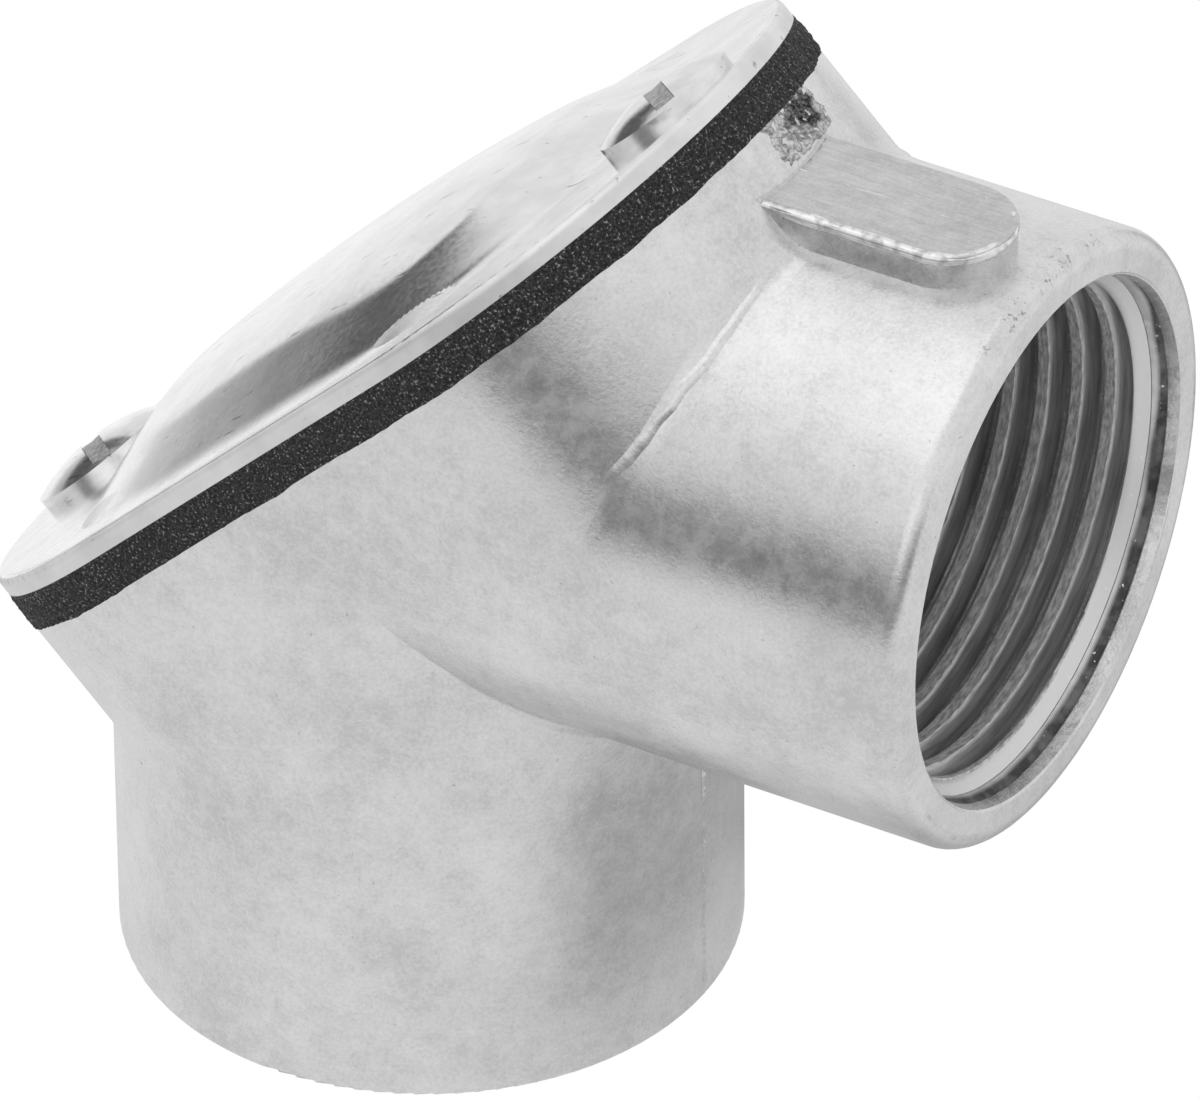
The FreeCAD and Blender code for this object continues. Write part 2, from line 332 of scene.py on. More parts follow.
@dataclass(frozen=True)
class CastZinc:
    """As-cast zinc alloy: pale and matt, clouded where the melt met the die, with fine grain and pits.

    The rim of the side hub has knocks, and the pad's top has streaks from the trimming file.
    """

    name: str = "as_cast_zinc"
    dark: str = "#cccccc"
    middle: str = "#dcdcdc"
    light: str = "#e8e8e8"
    pit: str = "#8a8a8a"
    cloud_size: float = 6.5
    mottle_size: float = 1.1
    # Finer on the real casting: drawn this coarse so that it shows in the render
    grain_size: float = 0.2
    pit_spacing: float = 0.42
    streak_size: float = 0.16
    streak_length: float = 2.5
    rim_start: float = 33.2
    rim_height: float = 48.4
    filed_tone: float = 0.24
    rough_low: float = 0.20
    rough_high: float = 0.32
    grain_depth: float = 0.012
    grain_strength: float = 0.9

    def build(self) -> bpy.types.Material:
        """Make the material.

        Returns:
            The finished material.
        """
        material, tree, at = start_material(self.name)
        clouds, mottle, grain, pits = (
            add_node(tree, Node.NOISE, {"Vector": at, "Scale": 1.0 / size, "Detail": detail, "Roughness": rough})
            for size, detail, rough in (
                (self.cloud_size, 5.0, 0.6), (self.mottle_size, 6.0, 0.7), (self.grain_size, 3.0, 0.65),
                (self.pit_spacing, 3.0, 0.7)))
        along, aside, height = (add_node(tree, Node.SEPARATE, {"Vector": at}, out=axis) for axis in "XYZ")
        tone = 0.0
        for field, share in ((mottle, 0.35), (grain, 0.30), (clouds, 0.35)):
            tone = add_node(tree, Node.MATH, {0: field, 1: share, 2: tone}, TIMES_PLUS)
        colour = add_node(
            tree, Node.RAMP, {"Fac": tone}, stops=[(0.40, self.dark), (0.5, self.middle), (0.60, self.light)])
        specks = add_node(tree, Node.MAP_RANGE, {"Value": pits, "From Min": 0.68, "From Max": 0.76, "To Max": 0.6})
        knocks = add_node(tree, Node.MAP_RANGE, {"Value": pits, "From Min": 0.59, "From Max": 0.65, "To Max": 0.75})
        knocks = within(tree, knocks, [
            (along, self.rim_start, self.rim_start + 0.5), (along, LEG_LENGTH - 0.05, LEG_LENGTH - 0.25),
            (height, self.rim_height, self.rim_height + 0.9)])
        streak_at = add_node(tree, Node.MAPPING, {
            "Vector": at, "Scale": (1.0 / self.streak_length, 1.0 / self.streak_size, 1.0 / self.streak_size)})
        streaks = add_node(tree, Node.NOISE, {"Vector": streak_at, "Scale": 1.0, "Detail": 3.0})
        streaks = add_node(tree, Node.MAP_RANGE, {
            "Value": streaks, "From Min": 0.35, "From Max": 0.68, "To Min": self.filed_tone - 0.08,
            "To Max": self.filed_tone + 0.10})
        on_pad = add_node(tree, Node.MATH, {0: aside, 1: 0.0, 2: PAD_HALF_WIDTH + 0.1}, {"operation": "COMPARE"})
        on_pad = within(tree, on_pad, [
            (height, PAD_EDGE_LEVEL - 0.15, PAD_EDGE_LEVEL - 0.05),
            (height, PAD_RIDGE_LEVEL + 0.1, PAD_RIDGE_LEVEL + 0.05)])
        filed = add_node(tree, Node.MATH, {0: on_pad, 1: streaks}, TIMES)
        marks = add_node(tree, Node.MATH, {0: specks, 1: knocks}, GREATER)
        marks = add_node(tree, Node.MATH, {0: marks, 1: filed}, GREATER)
        mixed = add_node(tree, Node.MIX, {0: marks, 6: colour, 7: linear(self.pit)}, COLOURS, out=2)
        rough = add_node(tree, Node.MAP_RANGE, {
            "Value": mottle, "From Min": 0.35, "From Max": 0.65, "To Min": self.rough_low, "To Max": self.rough_high})
        relief = add_node(tree, Node.MATH, {0: grain, 1: 0.8, 2: mottle}, TIMES_PLUS)
        relief = add_node(tree, Node.MATH, {0: marks, 1: -0.6, 2: relief}, TIMES_PLUS)
        bump = add_node(tree, Node.BUMP, {
            "Height": relief, "Strength": self.grain_strength, "Distance": self.grain_depth * MM})
        end_material(tree, {"Base Color": mixed, "Metallic": 1.0, "Roughness": rough, "Normal": bump})
        return material


@dataclass(frozen=True)
class CutZinc:
    """Tapped zinc: smooth grey flanks streaked by the tap, a paler crest and a bright broken burr beside it."""

    name: str = "tapped_zinc"
    flank_dark: str = "#a8a8a8"
    flank_light: str = "#dcdcdc"
    crest_dark: str = "#b0b0b0"
    crest_light: str = "#f4f4f4"
    burr: str = "#ffffff"
    # Marks of the tap are finer than this: drawn so that they show in the render
    streak_length: float = 4.0
    streak_width: float = 0.12
    grit_length: float = 0.7
    grit_width: float = 0.16

    def build(self) -> bpy.types.Material:
        """Make the material.

        The attribute "cast" is 0 on the cut flanks, 1 on the crest and 2 on the burr, and "run" is the
        place along and across the ridge in millimetres.

        Returns:
            The finished material.
        """
        material, tree, _ = start_material(self.name)
        mark = add_node(tree, Node.ATTRIBUTE, settings={"attribute_name": "cast"}, out="Fac")
        run = add_node(tree, Node.ATTRIBUTE, settings={"attribute_name": "run"}, out="Vector")
        cast = add_node(tree, Node.MAP_RANGE, {"Value": mark})
        burr = add_node(tree, Node.MAP_RANGE, {"Value": mark, "From Min": 1.0, "From Max": 2.0})
        streak, grit = (
            add_node(tree, Node.NOISE, {
                "Vector": add_node(tree, Node.MAPPING, {"Vector": run, "Scale": (1.0 / length, 1.0 / width, 1.0)}),
                "Scale": 1.0, "Detail": 3.0, "Roughness": rough})
            for length, width, rough in (
                (self.streak_length, self.streak_width, 0.6), (self.grit_length, self.grit_width, 0.65)))
        flank, crest = (
            add_node(tree, Node.RAMP, {"Fac": field}, stops=stops) for field, stops in (
                (streak, [(0.34, self.flank_dark), (0.66, self.flank_light)]),
                (grit, [(0.36, self.crest_dark), (0.62, self.crest_light)])))
        colour = add_node(tree, Node.MIX, {0: cast, 6: flank, 7: crest}, COLOURS, out=2)
        colour = add_node(tree, Node.MIX, {0: burr, 6: colour, 7: linear(self.burr)}, COLOURS, out=2)
        rough = add_node(tree, Node.MAP_RANGE, {"Value": cast, "To Min": 0.36, "To Max": 0.5})
        metal = add_node(tree, Node.MAP_RANGE, {"Value": cast, "To Min": 0.75, "To Max": 0.3})
        bump = add_node(tree, Node.BUMP, {"Height": streak, "Strength": 0.4, "Distance": 0.015 * MM})
        end_material(tree, {"Base Color": colour, "Metallic": metal, "Roughness": rough, "Normal": bump})
        return material


@dataclass(frozen=True)
class PaintedShadeZinc:
    """Step behind the mouth's lip: pale zinc with a few bright specks, and painted shade in its corner, deepest at
    the bottom of the ring, where the step faces away from the light.
    """

    name: str = "zinc_with_painted_shade"
    # Pale zinc, and the colour of the painted shade in the step's corner
    unshaded: str = "#e6e6e6"
    darkening: str = "#4c4c4c"
    speck: str = "#f0f0f0"
    speck_size: float = 0.3
    cloud_size: float = 0.9

    def build(self) -> bpy.types.Material:
        """Make the material. Its point attribute is the share of painted shade at each point.

        Returns:
            The finished material.
        """
        material, tree, at = start_material(self.name)
        # Share of painted shade, darkest where the step faces away from the light
        darkening = add_node(tree, Node.ATTRIBUTE, settings={"attribute_name": "darkening"}, out="Fac")
        cloud = add_node(tree, Node.NOISE, {"Vector": at, "Scale": 1.0 / self.cloud_size, "Detail": 3.0})
        speck = add_node(tree, Node.NOISE, {"Vector": at, "Scale": 1.0 / self.speck_size, "Detail": 1.0})
        cloud = add_node(tree, Node.MAP_RANGE, {"Value": cloud, "From Min": 0.35, "From Max": 0.6, "To Min": 0.82})
        share = add_node(tree, Node.MATH, {0: darkening, 1: cloud}, TIMES)
        colour = add_node(
            tree, Node.MIX, {0: share, 6: linear(self.unshaded), 7: linear(self.darkening)}, COLOURS, out=2)
        speck = add_node(tree, Node.MAP_RANGE, {"Value": speck, "From Min": 0.72, "From Max": 0.76})
        colour = add_node(tree, Node.MIX, {0: speck, 6: colour, 7: linear(self.speck)}, COLOURS, out=2)
        end_material(tree, {"Base Color": colour, "Metallic": 0.85, "Roughness": 0.45})
        return material


@dataclass(frozen=True)
class WornZinc:
    """Zinc rubbed bright on raised edges: pale, with short soft highlights."""

    name: str = "rubbed_zinc"
    dark: str = "#c4c4c4"
    light: str = "#f0f0f0"
    patch_size: float = 0.5
    patch_detail: float = 4.0
    stops: Span = (0.35, 0.55)
    metallic: float = 1.0
    rough: float = 0.32

    def build(self) -> bpy.types.Material:
        """Make the material.

        Returns:
            The finished material.
        """
        material, tree, at = start_material(self.name)
        patch = add_node(tree, Node.NOISE, {
            "Vector": at, "Scale": 1.0 / self.patch_size, "Detail": self.patch_detail})
        colour = add_node(
            tree, Node.RAMP, {"Fac": patch}, stops=[(self.stops[0], self.dark), (self.stops[1], self.light)])
        end_material(tree, {"Base Color": colour, "Metallic": self.metallic, "Roughness": self.rough})
        return material


@dataclass(frozen=True)
class SlotGrime(WornZinc):
    """Dust and worn plating packed in a screw's slot: dull grey."""

    name: str = "slot_grime"
    dark: str = "#a0a0a0"
    light: str = "#cccccc"
    patch_size: float = 0.25
    patch_detail: float = 3.0
    stops: Span = (0.38, 0.62)
    metallic: float = 0.6
    rough: float = 0.5


@dataclass(frozen=True)
class BrokenZinc:
    """Fracture where the casting's gate was snapped off: coarse crystals, dark and porous in the middle."""

    name: str = "fractured_zinc"
    core_dark: str = "#2c2c2c"
    core_light: str = "#8c8c8c"
    rim_dark: str = "#8c8c8c"
    rim_light: str = "#dcdcdc"
    crystal_size: float = 0.22

    def build(self) -> bpy.types.Material:
        """Make the material. Its point attribute is 1 in the dark core and 0 at the rim.

        Returns:
            The finished material.
        """
        material, tree, at = start_material(self.name)
        core = add_node(tree, Node.ATTRIBUTE, settings={"attribute_name": "darkening"}, out="Fac")
        crystals = add_node(tree, Node.NOISE, {
            "Vector": at, "Scale": 1.0 / self.crystal_size, "Detail": 3.0, "Roughness": 0.65})
        dark = add_node(
            tree, Node.RAMP, {"Fac": crystals}, stops=[(0.42, self.core_dark), (0.72, self.core_light)])
        pale = add_node(tree, Node.RAMP, {"Fac": crystals}, stops=[(0.36, self.rim_dark), (0.60, self.rim_light)])
        colour = add_node(tree, Node.MIX, {0: core, 6: pale, 7: dark}, COLOURS, out=2)
        bump = add_node(tree, Node.BUMP, {"Height": crystals, "Strength": 0.7, "Distance": 0.04 * MM})
        end_material(tree, {"Base Color": colour, "Metallic": 1.0, "Roughness": 0.5, "Normal": bump})
        return material


@dataclass(frozen=True)
class PlatedSteel:
    """Bright zinc plate on pressed steel: clear soft reflections, faint grain and a few rubbed dents."""

    name: str
    dark: str = "#e2e2e2"
    light: str = "#f0f0f0"
    dent: str = "#9a9a9a"
    rough_low: float = 0.15
    rough_high: float = 0.22
    edge_rough: float = 0.5
    cloud_size: float = 3.0
    grain_size: float = 0.3
    dent_length: float = 2.2
    dent_width: float = 0.5

    def build(self) -> bpy.types.Material:
        """Make the material. The dents run along the cover, at 45 degrees in the part's frame.

        Returns:
            The finished material.
        """
        material, tree, at = start_material(self.name)
        clouds, grain = (
            add_node(tree, Node.NOISE, {"Vector": at, "Scale": 1.0 / size, "Detail": detail, "Roughness": 0.6})
            for size, detail in ((self.cloud_size, 5.0), (self.grain_size, 4.0)))
        colour = add_node(tree, Node.RAMP, {"Fac": clouds}, stops=[(0.38, self.dark), (0.62, self.light)])
        turned = add_node(tree, Node.MAPPING, {"Vector": at, "Rotation": (0.0, math.radians(45.0), 0.0)})
        stretched = add_node(tree, Node.MAPPING, {
            "Vector": turned,
            "Scale": (1.0 / self.dent_length, 1.0 / self.dent_width, 1.0 / self.dent_width)})
        dents = add_node(tree, Node.NOISE, {"Vector": stretched, "Scale": 1.0, "Detail": 2.0})
        dents = add_node(tree, Node.MAP_RANGE, {
            "Value": dents, "From Min": 0.68, "From Max": 0.74, "To Max": 0.7})
        mixed = add_node(tree, Node.MIX, {0: dents, 6: colour, 7: linear(self.dent)}, COLOURS, out=2)
        rough = add_node(tree, Node.MAP_RANGE, {
            "Value": grain, "From Min": 0.35, "From Max": 0.65, "To Min": self.rough_low,
            "To Max": self.rough_high})
        level = add_node(tree, Node.SEPARATE, {"Vector": turned}, out="Z")
        face = LEG_LENGTH * math.sqrt(0.5) + COVER_FACE
        edge = add_node(tree, Node.MAP_RANGE, {
            "Value": level, "From Min": face - 0.01, "From Max": face - 0.05, "To Max": self.edge_rough})
        rough = add_node(tree, Node.MATH, {0: rough, 1: edge}, GREATER)
        relief = add_node(tree, Node.MATH, {0: dents, 1: -1.5, 2: grain}, TIMES_PLUS)
        bump = add_node(tree, Node.BUMP, {"Height": relief, "Strength": 0.35, "Distance": 0.006 * MM})
        end_material(tree, {"Base Color": mixed, "Metallic": 1.0, "Roughness": rough, "Normal": bump})
        return material


@dataclass(frozen=True)
class FoamRubber:
    """Closed-cell foam rubber: dead black with torn cells that catch specks of light."""

    name: str = "black_foam_rubber"
    dark: str = "#1c1c1c"
    middle: str = "#424242"
    speck: str = "#b4b4b4"
    cell_size: float = 0.2
    grit_size: float = 0.14

    def build(self) -> bpy.types.Material:
        """Make the material.

        Returns:
            The finished material.
        """
        material, tree, at = start_material(self.name)
        cells = add_node(tree, Node.VORONOI, {"Vector": at, "Scale": 1.0 / self.cell_size})
        grit = add_node(tree, Node.NOISE, {
            "Vector": at, "Scale": 1.0 / self.grit_size, "Detail": 2.0, "Roughness": 0.6})
        colour = add_node(
            tree, Node.RAMP, {"Fac": grit},
            stops=[(0.40, self.dark), (0.56, self.middle), (0.61, self.middle), (0.70, self.speck)])
        bump = add_node(tree, Node.BUMP, {"Height": cells, "Strength": 0.9, "Distance": 0.06 * MM})
        end_material(tree, {"Base Color": colour, "Roughness": 0.85, "Normal": bump})
        return material


@dataclass(frozen=True)
class Finishes:
    """Finishes of the part."""

    casting: bpy.types.Material
    thread: bpy.types.Material
    painted_shade_zinc: bpy.types.Material
    rubbed: bpy.types.Material
    broken: bpy.types.Material
    grime: bpy.types.Material
    foam: bpy.types.Material
    sheet: bpy.types.Material
    screw: bpy.types.Material

    @staticmethod
    def make() -> "Finishes":
        """Build every finish.

        Returns:
            The set of finishes.
        """
        return Finishes(
            CastZinc().build(), CutZinc().build(), PaintedShadeZinc().build(), WornZinc().build(),
            BrokenZinc().build(), SlotGrime().build(), FoamRubber().build(),
            PlatedSteel("bright_plated_sheet").build(),
            PlatedSteel("bright_plated_screw", dark="#dadada", rough_low=0.12, rough_high=0.20).build(),
        )

    def dress(self) -> None:
        """Put each finish on its solid."""
        pairs = {
            "body": self.casting, "gasket": self.foam, "cover": self.sheet,
            "screw_upper": self.screw, "screw_lower": self.screw,
        }
        for name, material in pairs.items():
            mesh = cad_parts[name].data
            mesh.materials.clear()
            mesh.materials.append(material)
            LOG.info("%s: dressed in %s", name, material.name)


@dataclass(frozen=True)
class HubMouth:
    """Inside of one hub's mouth: a cast lip, a specked band with painted shade, a bright lead-in cone and the tapped
    ridge.
    """

    hub: Hub
    finishes: Finishes
    pitch: float = 1.814
    crest_radius: float = 12.33
    crest_flat: float = 0.54
    root_flat: float = 0.12
    burr: float = 0.07
    embed: float = 0.03
    start: float = -0.25
    first_turn: float = 0.95
    last: float = 12.1
    cone_start: float = 1.5
    cone_radius: float = 13.0
    wall_radius: float = 13.42
    # Painted shade behind the lip: where it ends, how far it reaches and how soft its edge is
    painted_shade_start: float = 0.74
    painted_shade_width: float = 0.66
    painted_shade_edge: float = 0.2
    proud: float = 0.004
    crest_rough: float = 0.008
    burr_rise: float = 0.03
    cone_clear: float = 0.03
    cone_end: float = 2.1
    mouth_clear: float = 0.35
    floor_clear: float = 0.02
    around: int = 720
    per_turn: int = 200

    def place(self, radius: np.ndarray, angle: np.ndarray, depth: np.ndarray) -> np.ndarray:
        """Carry points round the hub's axis to the part's axes.

        p = (r cos t, r sin t, w) on the lower hub, turned so that w runs along -X on the side hub.

        Args:
            radius: distance r from the axis.
            angle: angle t round the axis.
            depth: distance w in from the mouth.

        Returns:
            Points in the part's frame.
        """
        radius, angle, depth = np.broadcast_arrays(radius, angle, depth)
        turn, rise = np.cos(angle) * radius, np.sin(angle) * radius
        if self.hub is Hub.LOWER:
            return np.stack([turn, rise, depth], axis=-1)
        return np.stack([LEG_LENGTH - depth, turn, LEG_LENGTH - rise], axis=-1)

    def ring(
        self, name: str, profile: Sequence[Span], material: bpy.types.Material, rough: float, seed: int,
    ) -> bpy.types.Object:
        """Make one turned ring as a closed profile carried round the axis.

        p = place(r + rough f(p), t, w) for each (w, r) of the profile, with f a small random field; the
        first and last points lie inside the wall. Painted shade lies deepest at the bottom, where sin t is 1.

        Args:
            name: first part of the piece's name.
            profile: depth and radius of each point of the section.
            material: finish of the ring.
            rough: size of its waviness.
            seed: seed of its waviness.

        Returns:
            The ring piece.
        """
        depth, radius = np.array(profile).T[:, None, :]
        angle = np.linspace(0.0, 2.0 * math.pi, self.around, endpoint=False)[:, None]
        field = waves(self.place(radius, angle, depth), 0.7, seed)
        worn = radius + rough * field * (np.abs(radius - self.wall_radius) > 0.001)
        # Painted shade reaches furthest in where sin t is 1, at the bottom of the ring, where the step faces away
        # from the light
        reach = np.clip(0.4 + 0.6 * (np.sin(angle) + 0.8), 0.4, 1.0)
        reach = reach * (1.0 + 0.05 * waves(self.place(radius, angle, depth), 4.0, seed + 10))
        darkening = np.clip((self.painted_shade_start + self.painted_shade_width * reach - depth) / self.painted_shade_edge, 0.0, 1.0)
        return add_piece(
            name + "_" + self.hub.value, self.place(worn, angle, depth), Body.HOUSING, material,
            wrap_rows=True, marks={"darkening": darkening})

    def ridge(self) -> bpy.types.Object:
        """Make the thread's ridge as a profile along a helix.

        Section: h(s) = clip((b - |s|) / (b - c), 0, 1) for s across the ridge, with a small broken burr on
        the mouth side of its flat crest; r = root - (root - crest) h; helix: w = start + pitch t / (2 pi).
        Near the mouth the ridge stays behind the lead-in cone, and its inner end fades out.

        Returns:
            The thread piece.
        """
        turns = (self.last - self.start) / self.pitch - self.first_turn
        turn = np.linspace(self.first_turn, self.first_turn + turns, int(turns * self.per_turn))
        angle = 2.0 * math.pi * turn[:, None]
        base, crest = 0.5 * (self.pitch - self.root_flat), 0.5 * self.crest_flat
        across = np.concatenate([
            [-base], np.linspace(-base, -crest - self.burr, 8), [-crest, -crest + self.burr],
            np.linspace(-crest + self.burr, crest, 7)[1:-1], np.linspace(crest, base, 9), [base],
        ])[None, :]
        height = np.clip((base - np.abs(across)) / (base - crest - 0.5 * self.burr), 0.0, 1.0)
        middle = self.start + self.pitch * angle / (2.0 * math.pi)
        along = middle + across
        fade = np.clip((self.last - 0.3 * self.pitch - middle) / (0.5 * self.pitch) + 0.4, 0.0, 1.0)
        depth = THREAD_RADIUS - self.crest_radius
        radius = THREAD_RADIUS + self.proud - depth * np.minimum(height, fade)
        skin = self.place(radius, angle, along)
        on_crest = (np.abs(across) < crest + 0.001).astype(float)
        on_burr = (np.abs(across + crest) < 0.5 * self.burr).astype(float)
        broken = np.clip(0.5 + 0.6 * waves(skin, 1.1, 32) + 0.4 * waves(skin, 0.4, 33), 0.0, 1.2)
        radius = radius + self.crest_rough * on_crest * waves(skin, 0.45, 31) - self.burr_rise * on_burr * broken
        cone = np.where(along < self.cone_start, THREAD_RADIUS, self.cone_radius - (along - self.cone_start))
        radius = np.where(along < self.cone_end, np.maximum(radius, cone + self.cone_clear), radius)
        radius[:, [0, -1]] = THREAD_RADIUS + self.embed
        along = np.clip(along, self.mouth_clear, THREAD_DEPTH - self.floor_clear)
        run = np.stack(np.broadcast_arrays(THREAD_RADIUS * angle, across, 0.0), axis=-1)
        return add_piece(
            "hub_thread_" + self.hub.value, self.place(radius, angle, along), Body.HOUSING,
            self.finishes.thread, marks={"cast": on_crest + on_burr * np.minimum(broken, 1.0), "run": run})

    def build(self) -> None:
        """Make the three rings and the ridge."""
        wall = self.wall_radius
        lip = [
            (0.02, wall), (0.08, 13.30), (0.28, 13.25), (0.48, 13.20), (0.66, 13.16), (0.72, 13.19), (0.74, wall)]
        band = [
            (0.76, wall), (0.78, 13.32), (0.87, 13.28), (0.96, 13.24), (1.06, 13.19), (1.16, 13.14), (1.26, 13.10),
            (1.36, 13.06), (1.47, 13.02), (1.48, wall)]
        cone = [
            (1.485, wall), (1.50, 13.0), (1.68, 12.82), (1.86, 12.64), (2.05, 12.45), (2.15, 12.42), (2.70, wall)]
        self.ring("hub_lip", lip, self.finishes.casting, 0.003, 21)
        # The band's finish carries the painted shade
        self.ring("hub_band", band, self.finishes.painted_shade_zinc, 0.006, 22)
        self.ring("hub_cone", cone, self.finishes.painted_shade_zinc, 0.003, 23)
        self.ridge()


@dataclass(frozen=True)
class ScrewThread:
    """Male thread on one cover screw."""

    body: Body
    side: int
    material: bpy.types.Material
    pitch: float = 0.794
    crest_radius: float = 2.04
    embed: float = 0.03
    per_turn: int = 48

    def build(self) -> bpy.types.Object:
        """Make the ridge as a profile along a helix on the screw's axis.

        Section: triangle of half width b = 0.46 pitch with a flat crest; helix: out = w,
        long = offset + r cos t, across = r sin t, w = pitch t / (2 pi) - length; both ends fade out.

        Returns:
            The thread piece.
        """
        start, end = -SCREW_LENGTH + 0.55, -0.5
        turns = (end - start) / self.pitch
        angle = np.linspace(0.0, 2.0 * math.pi * turns, int(turns * self.per_turn))[:, None]
        base, crest = 0.46 * self.pitch, 0.06 * self.pitch
        across = np.array([-base, -base, -crest, crest, base, base])[None, :]
        height = np.clip((base - np.abs(across)) / (base - crest), 0.0, 1.0)
        fade = np.clip(np.minimum(angle, angle[-1] - angle) / math.pi, 0.0, 1.0)
        radius = SCREW_CORE_RADIUS + (self.crest_radius - SCREW_CORE_RADIUS) * height * fade
        radius[:, [0, -1]] = SCREW_CORE_RADIUS - self.embed
        out = COVER_FACE + start + self.pitch * angle / (2.0 * math.pi) + across
        points = seat_to_part(self.side * SCREW_OFFSET + radius * np.cos(angle), radius * np.sin(angle), out)
        return add_piece(self.body.value + "_thread", points, self.body, self.material)


@dataclass(frozen=True)
class SlotFill:
    """Dust in one screw's slot, a little below the round top of the head."""

    body: Body
    side: int
    material: bpy.types.Material
    half_width: float = 0.53
    half_length: float = 3.2
    turn: float = -45.0
    floor: float = 0.78
    below: float = 0.14
    head_radius: float = 3.75
    edge: float = 0.65
    rise: float = 1.45
    rows: int = 41

    def build(self) -> bpy.types.Object:
        """Make the fill as sections along the slot.

        Top k(s) = rise - R + sqrt(R^2 - s^2) - below, R the radius of the head's round top, s along the slot.

        Returns:
            The fill piece.
        """
        bulge = self.rise - self.edge
        ball = (self.head_radius ** 2 + bulge ** 2) / (2.0 * bulge)
        s = np.linspace(-self.half_length, self.half_length, self.rows)[:, None]
        top = np.maximum(self.rise - ball + np.sqrt(ball ** 2 - s ** 2) - self.below, self.floor + 0.005)
        wide = self.half_width * np.array([-1.0, 1.0, 1.0, 0.0, -1.0])[None, :]
        share = np.array([0.0, 0.0, 1.0, 0.9, 1.0])[None, :]
        out = COVER_FACE + self.floor - 0.02 + (top - self.floor + 0.02) * share
        angle = math.radians(self.turn)
        long = self.side * SCREW_OFFSET + s * math.cos(angle) - wide * math.sin(angle)
        across = s * math.sin(angle) + wide * math.cos(angle)
        return add_piece(
            self.body.value + "_slot_dust", seat_to_part(long, across, out), self.body,
            self.material)


@dataclass(frozen=True)
class CoverSkin:
    """Pressed top of the cover: a flat rim and an oval dome without seams, laid closely over the solid."""

    material: bpy.types.Material
    border: float = 0.45
    spine: float = 8.0
    squeeze: float = 1.258
    soften: float = 4.5
    foot: float = 14.0
    foot_run: float = 1.0
    slope: float = 18.0
    rise: float = 2.57
    across_radius: float = 47.0
    along_radius: float = 150.0
    shoulder: float = 0.05
    lift: float = 0.012
    sink: float = 0.3
    rows: int = 240
    columns: int = 141

    def height(self, long: np.ndarray, across: np.ndarray) -> np.ndarray:
        """Height of the pressed top over the flat rim.

        q = soft max(|d| - spine, 0), rho = hypot(s q, y), e = foot - rho; the side rises with e at the slope,
        from a rounded foot, and a soft minimum joins it to the crown rise - y^2 / 2 Ra - d^2 / 2 Rl.

        Args:
            long: distance d along the cover from its middle.
            across: distance y across the cover.

        Returns:
            The height at each point.
        """
        past = np.abs(long) - self.spine
        q = 0.5 * (past + np.sqrt(past ** 2 + self.soften ** 2))
        inward = self.foot - np.hypot(self.squeeze * q, across)
        run = self.foot_run
        side = np.where(inward > run, inward, np.clip(inward + run, 0.0, None) ** 2 / (4.0 * run))
        side = side * math.tan(math.radians(self.slope))
        crown = self.rise - across ** 2 / (2.0 * self.across_radius) - long ** 2 / (2.0 * self.along_radius)
        crown = np.maximum(crown, 1.0)
        return 0.5 * (side + crown - np.sqrt((side - crown) ** 2 + self.shoulder ** 2)) + 0.001

    def build(self) -> bpy.types.Object:
        """Make the skin as sections across the cover, from one end to the other.

        Long d = (c + R) sin t, half width w(d) of the obround, y = w v for v from -1 to 1; each section is
        closed inside the sheet.

        Returns:
            The skin piece.
        """
        radius = HUB_RADIUS - self.border
        reach = 0.4995 * math.pi
        long = (END_CENTRE + radius) * np.sin(np.linspace(-reach, reach, self.rows))[:, None]
        half = np.sqrt(radius ** 2 - np.clip(np.abs(long) - END_CENTRE, 0.0, None) ** 2)
        share = np.concatenate([np.linspace(-1.0, 1.0, self.columns), [1.0, 0.5, 0.0, -0.5, -1.0]])[None, :]
        across = half * share
        out = COVER_FACE + self.lift + self.height(long, across)
        out[:, self.columns:] -= self.sink + self.lift
        return add_piece(
            "cover_skin", seat_to_part(long, across, out), Body.COVER, self.material)


